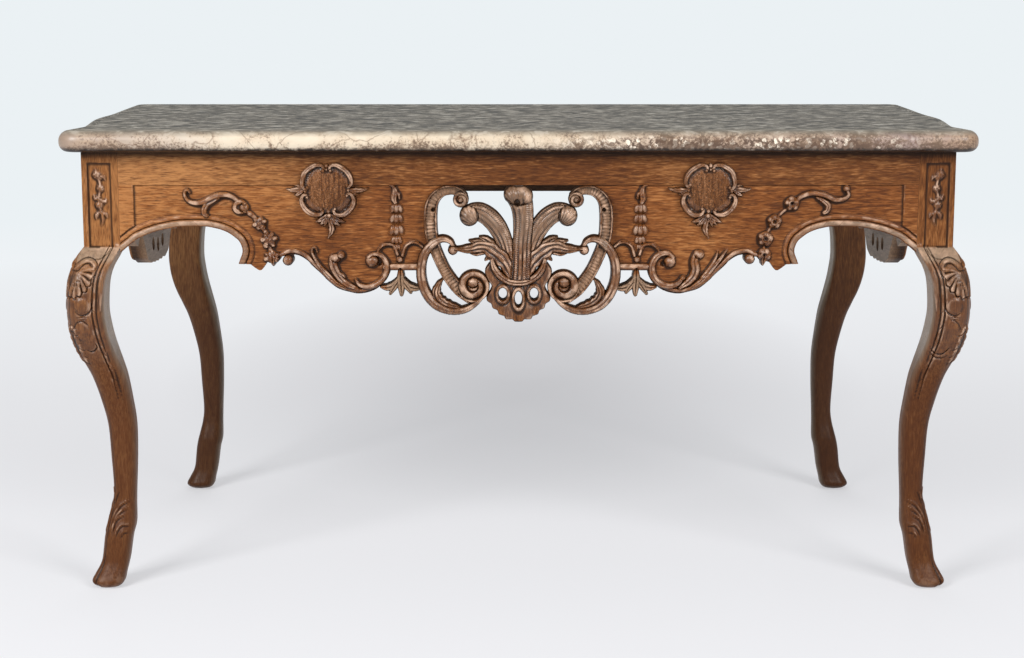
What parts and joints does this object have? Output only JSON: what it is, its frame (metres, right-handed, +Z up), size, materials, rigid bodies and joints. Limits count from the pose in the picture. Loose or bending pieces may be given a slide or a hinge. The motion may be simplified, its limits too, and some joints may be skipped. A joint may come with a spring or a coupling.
{
  "type": "hunt table",
  "caption": "Carved oak hunt table with a loose moulded marble slab, pierced shell-and-plume apron, garlanded arches and cabriole legs on cloven hooves.",
  "frame": {"origin": "on the floor under the middle of the slab", "axes": "+X along the table's length to its right, +Y to the back, +Z up; the carved front looks along -Y"},
  "size_m": [1.652, 0.83, 0.84],
  "materials": {
    "marble": "honed grey marble, cream and brown mottled edge",
    "oak_leg": "aged waxed oak, dark",
    "oak_rail": "aged waxed oak",
    "oak_apron": "aged waxed oak, carved",
    "oak_carved": "aged waxed oak, carved and pierced",
    "oak_plain": "unfinished oak"
  },
  "bodies": {
    "frame": {"front_rail": "oak_rail", "back_rail": "oak_plain", "front_centre_ornament": "oak_carved", "ornament_dowel": "oak_plain", "front_left_leg": "oak_leg", "back_left_leg": "oak_leg", "front_apron_left": "oak_apron", "front_tongue_left": "oak_plain", "cartouche_left": "oak_carved", "side_apron_left": "oak_apron", "bearer_left": "oak_plain", "front_pegs_left": "oak_plain", "back_pegs_left": "oak_plain", "front_right_leg": "oak_leg", "back_right_leg": "oak_leg", "front_apron_right": "oak_apron", "front_tongue_right": "oak_plain", "cartouche_right": "oak_carved", "side_apron_right": "oak_apron", "bearer_right": "oak_plain", "front_pegs_right": "oak_plain", "back_pegs_right": "oak_plain"},
    "top": {"marble_top": "marble"}
  },
  "joints": [
    {"name": "marble_lift", "type": "slide", "parent": "frame", "child": "top", "axis": [0, 0, 1], "range_m": [0, 0.2]}
  ]
}
